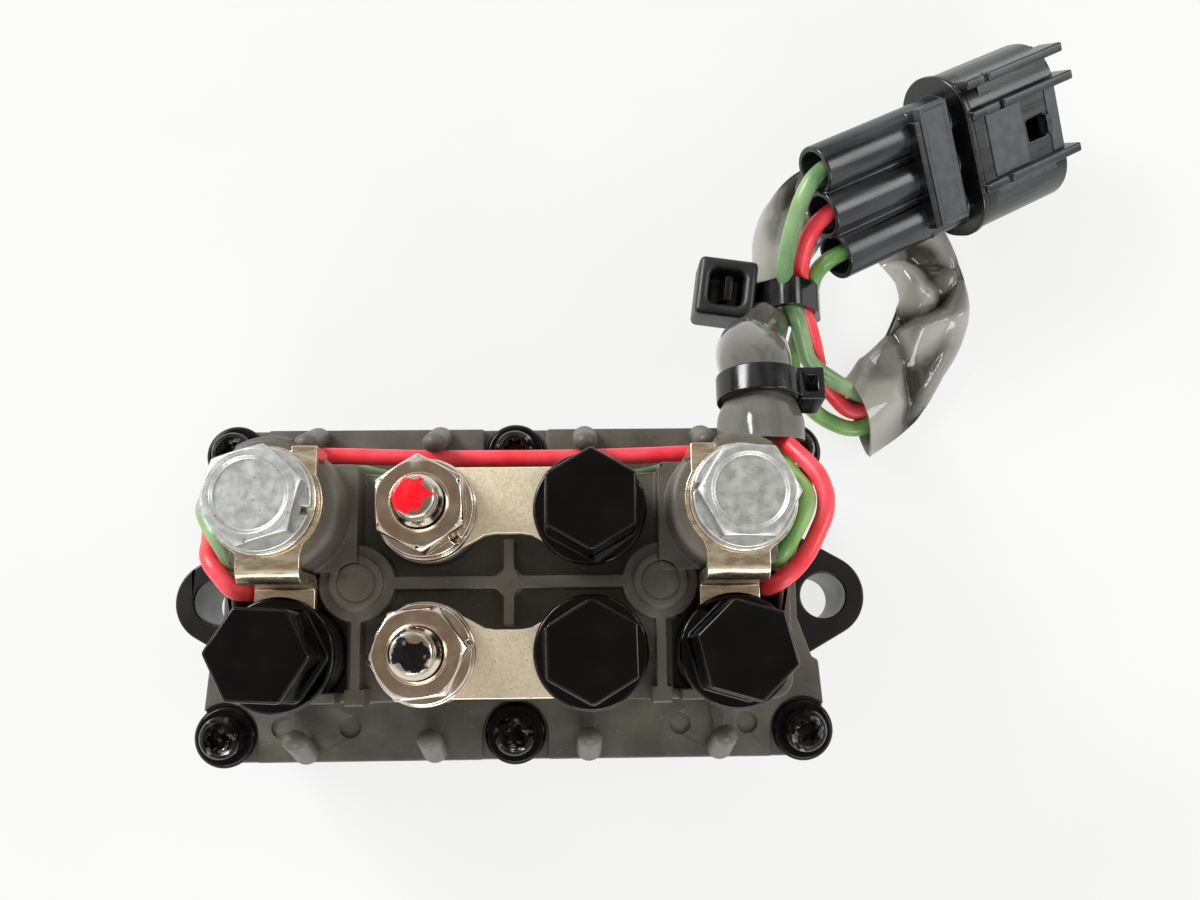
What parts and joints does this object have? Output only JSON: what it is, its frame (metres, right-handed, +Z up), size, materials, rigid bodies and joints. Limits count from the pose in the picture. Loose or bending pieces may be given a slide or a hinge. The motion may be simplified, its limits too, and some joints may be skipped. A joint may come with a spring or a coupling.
{
  "type": "trim tilt relay",
  "caption": "Moulded relay block with a ribbed terminal cover of studs, hexagonal caps and bolts, end mounting ears, and a sleeved wire harness with a plug.",
  "frame": {"origin": "centre of the case on the plane its base stands on", "axes": "+X along the case through both mounting ears, +Y towards the edge the harness leaves, +Z up through the terminals"},
  "size_m": [0.145, 0.1137, 0.0711],
  "materials": {
    "case": "satin moulded",
    "cover": "satin moulded",
    "rubber": "matte",
    "black_steel": "black plated",
    "zinc": "zinc plated",
    "nickel": "nickel plated",
    "bus": "tin plated brass",
    "brass": "machined",
    "cap": "gloss",
    "paper": "moulded",
    "copper": "copper",
    "iron": "zinc plated",
    "red_lead": "gloss",
    "pale_green": "gloss",
    "green": "gloss",
    "sleeve": "gloss"
  },
  "bodies": {
    "case": {"base_housing": "case", "cover_gasket": "rubber", "top_cover": "cover", "case_screws": "black_steel", "case_screw_washers": "black_steel", "positive_stud": "nickel", "negative_stud": "nickel", "terminal_nuts": "nickel", "terminal_spring_washers": "nickel", "terminal_flat_washers": "nickel", "positive_bus_bar": "bus", "negative_bus_bar": "bus", "motor_bolts": "zinc", "motor_bolt_spring_washers": "zinc", "motor_bolt_flat_washers": "zinc", "motor_bolt_inserts": "brass", "left_motor_strap": "nickel", "right_motor_strap": "nickel", "bus_studs": "nickel", "contact_studs": "nickel", "cap_nuts": "iron", "positive_cap": "cap", "negative_cap": "cap", "left_motor_cap": "cap", "right_motor_cap": "cap", "coil_bobbins": "paper", "coil_windings": "copper", "coil_yokes": "iron", "pole_plates": "iron", "coil_cores": "iron", "positive_contacts": "copper", "negative_contacts": "copper", "motor_contacts": "copper", "left_red_lead": "red_lead", "right_red_lead": "red_lead", "left_green_lead": "pale_green", "right_green_lead": "green", "harness_sleeve": "sleeve", "sleeve_tie": "cap", "bundle_tie": "cap", "pale_green_wire": "pale_green", "red_wire": "red_lead", "green_wire": "green", "connector_housing": "cap", "connector_retainer": "cap", "connector_pins": "nickel", "wire_seals": "green"},
    "left_plunger": {"left_plunger": "iron", "left_contact_carrier": "paper", "left_spring_clip": "iron", "left_return_spring": "zinc", "left_contact_spring": "zinc"},
    "right_plunger": {"right_plunger": "iron", "right_contact_carrier": "paper", "right_spring_clip": "iron", "right_return_spring": "zinc", "right_contact_spring": "zinc"},
    "left_contact": {"left_moving_contact": "copper"},
    "right_contact": {"right_moving_contact": "copper"}
  },
  "joints": [
    {"name": "left_plunger_slide", "type": "slide", "parent": "case", "child": "left_plunger", "axis": [0, 0, -1], "range_m": [0, 0.002], "stiffness_N_per_m": 500, "springref_m": -0.002, "deforming": ["left_return_spring"]},
    {"name": "left_contact_overtravel", "type": "slide", "parent": "left_plunger", "child": "left_contact", "axis": [0, 0, 1], "range_m": [0, 0.0004], "stiffness_N_per_m": 500, "springref_m": -0.001, "deforming": ["left_contact_spring"]},
    {"name": "right_plunger_slide", "type": "slide", "parent": "case", "child": "right_plunger", "axis": [0, 0, -1], "range_m": [0, 0.002], "stiffness_N_per_m": 500, "springref_m": -0.002, "deforming": ["right_return_spring"]},
    {"name": "right_contact_overtravel", "type": "slide", "parent": "right_plunger", "child": "right_contact", "axis": [0, 0, 1], "range_m": [0, 0.0004], "stiffness_N_per_m": 500, "springref_m": -0.001, "deforming": ["right_contact_spring"]}
  ],
  "couplings": [
    {"joint": "left_contact_overtravel", "follows": "left_plunger_slide", "ratio": 0.2},
    {"joint": "right_contact_overtravel", "follows": "right_plunger_slide", "ratio": 0.2}
  ]
}
